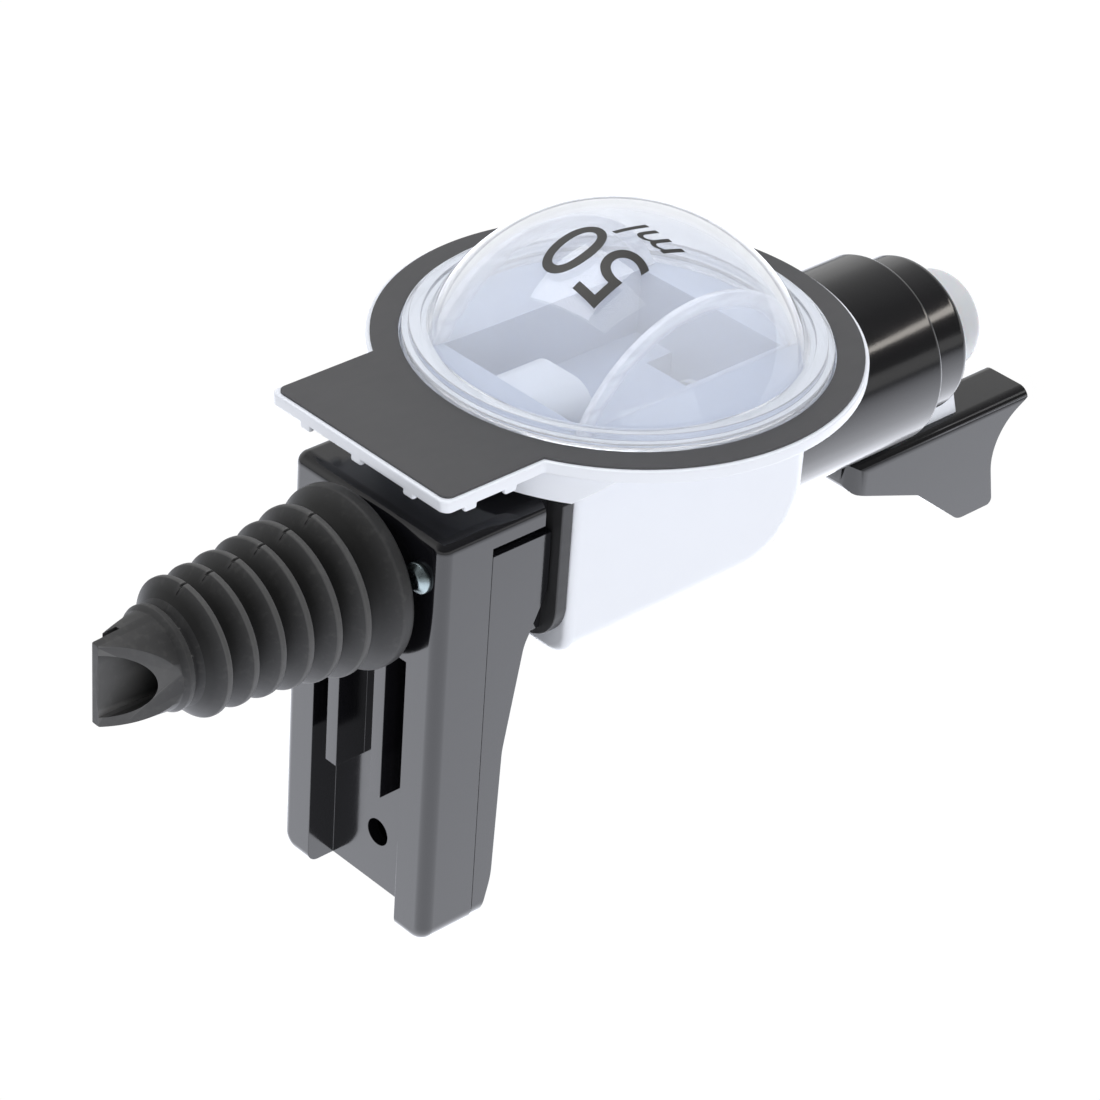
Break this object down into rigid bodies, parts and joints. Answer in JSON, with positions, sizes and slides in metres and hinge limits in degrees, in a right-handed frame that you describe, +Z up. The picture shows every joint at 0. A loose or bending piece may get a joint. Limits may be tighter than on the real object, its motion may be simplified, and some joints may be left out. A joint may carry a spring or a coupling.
{
  "type": "spirit measure dispenser",
  "caption": "Optic spirit measure with a barbed bottle cork, bracket arm, clear domed chamber, spring-loaded nozzle and glass-operated push lever.",
  "frame": {"origin": "centre of the lock-screw hole, on the +Z face of the bracket's web", "axes": "+X across, to the right seen from the front; +Y back to the wall; +Z up the valve axis to the bottle"},
  "size_m": [0.08, 0.1079, 0.2028],
  "materials": {
    "white": "smooth, slightly bluish white moulding",
    "label": "matte dark grey printed film",
    "clear": "clear moulded plastic with a faint blue tint",
    "seal": "soft translucent seal",
    "black_gloss": "mirror-gloss black moulding",
    "black_satin": "semi-gloss black moulding",
    "rubber": "matte black rubber",
    "milky": "milky natural plastic",
    "steel": "bright stainless steel",
    "zinc": "bright zinc plating"
  },
  "bodies": {
    "housing": {"face_plate": "white", "face_label": "label", "window_dome": "clear", "window_gasket": "seal", "measuring_body": "white", "chamber_tray": "white", "inlet_housing": "white", "outlet_seat": "milky", "lower_barrel": "black_satin", "barrel_seal": "seal", "end_collar": "black_satin", "return_spring": "steel", "bracket_housing": "black_gloss", "bracket_cover": "black_gloss", "bracket_screws": "zinc", "flange_gasket": "rubber", "inlet_spigot": "black_satin", "air_tube": "steel", "bottle_cork": "rubber"},
    "plunger": {"valve_spindle": "milky", "inlet_seal": "seal", "outlet_seal": "seal", "nozzle": "milky", "lever_key": "white", "push_lever": "black_satin"}
  },
  "joints": [
    {"name": "nozzle_push", "type": "slide", "parent": "housing", "child": "plunger", "axis": [0, 0, 1], "range_m": [0, 0.008], "stiffness_N_per_m": 300, "springref_m": -0.006, "deforming": ["return_spring"]}
  ]
}
